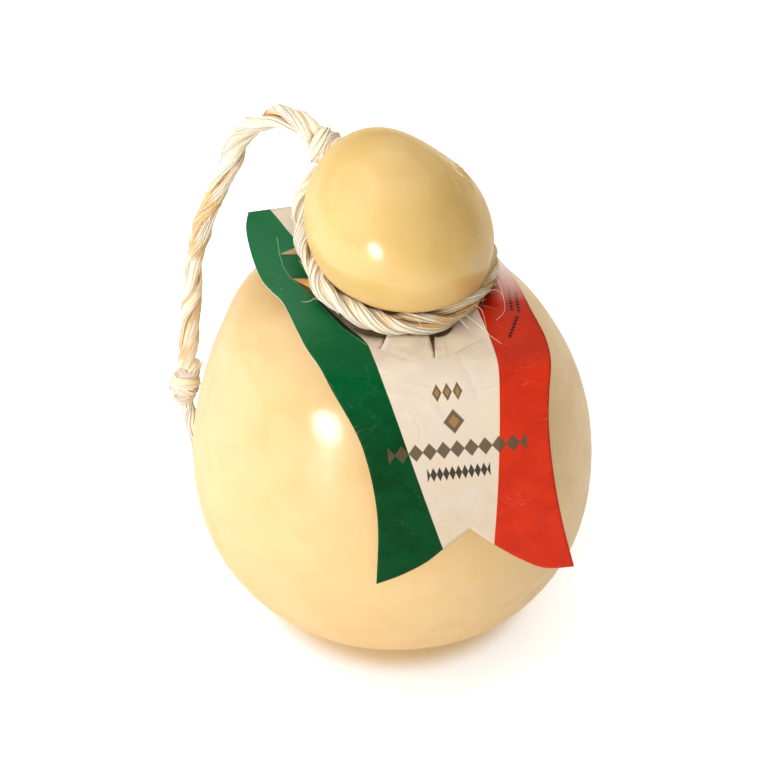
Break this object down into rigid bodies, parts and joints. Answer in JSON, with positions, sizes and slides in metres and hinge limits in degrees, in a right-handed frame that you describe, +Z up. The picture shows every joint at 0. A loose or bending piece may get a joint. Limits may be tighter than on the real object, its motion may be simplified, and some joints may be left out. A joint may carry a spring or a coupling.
{
  "type": "caciocavallo cheese",
  "caption": "Drop-shaped stretched-curd cheese with a pinched neck and a round head, a card label hung over the neck and a raffia rope tied round it.",
  "frame": {"origin": "on the small flat spot under the cheese, below the middle of the neck", "axes": "+Z up through the head, -Y towards the front, where the label falls, +X to the viewer's right"},
  "size_m": [0.1544, 0.1471, 0.202],
  "materials": {
    "cheese_rind": "satin",
    "label_card": "satin",
    "raffia": "matte"
  },
  "bodies": {
    "root": {"cheese": "cheese_rind", "label": "label_card", "neck_cord": "raffia", "neck_knot": "raffia", "rope": "raffia", "end_knot": "raffia", "rope_tail": "raffia"}
  },
  "joints": []
}
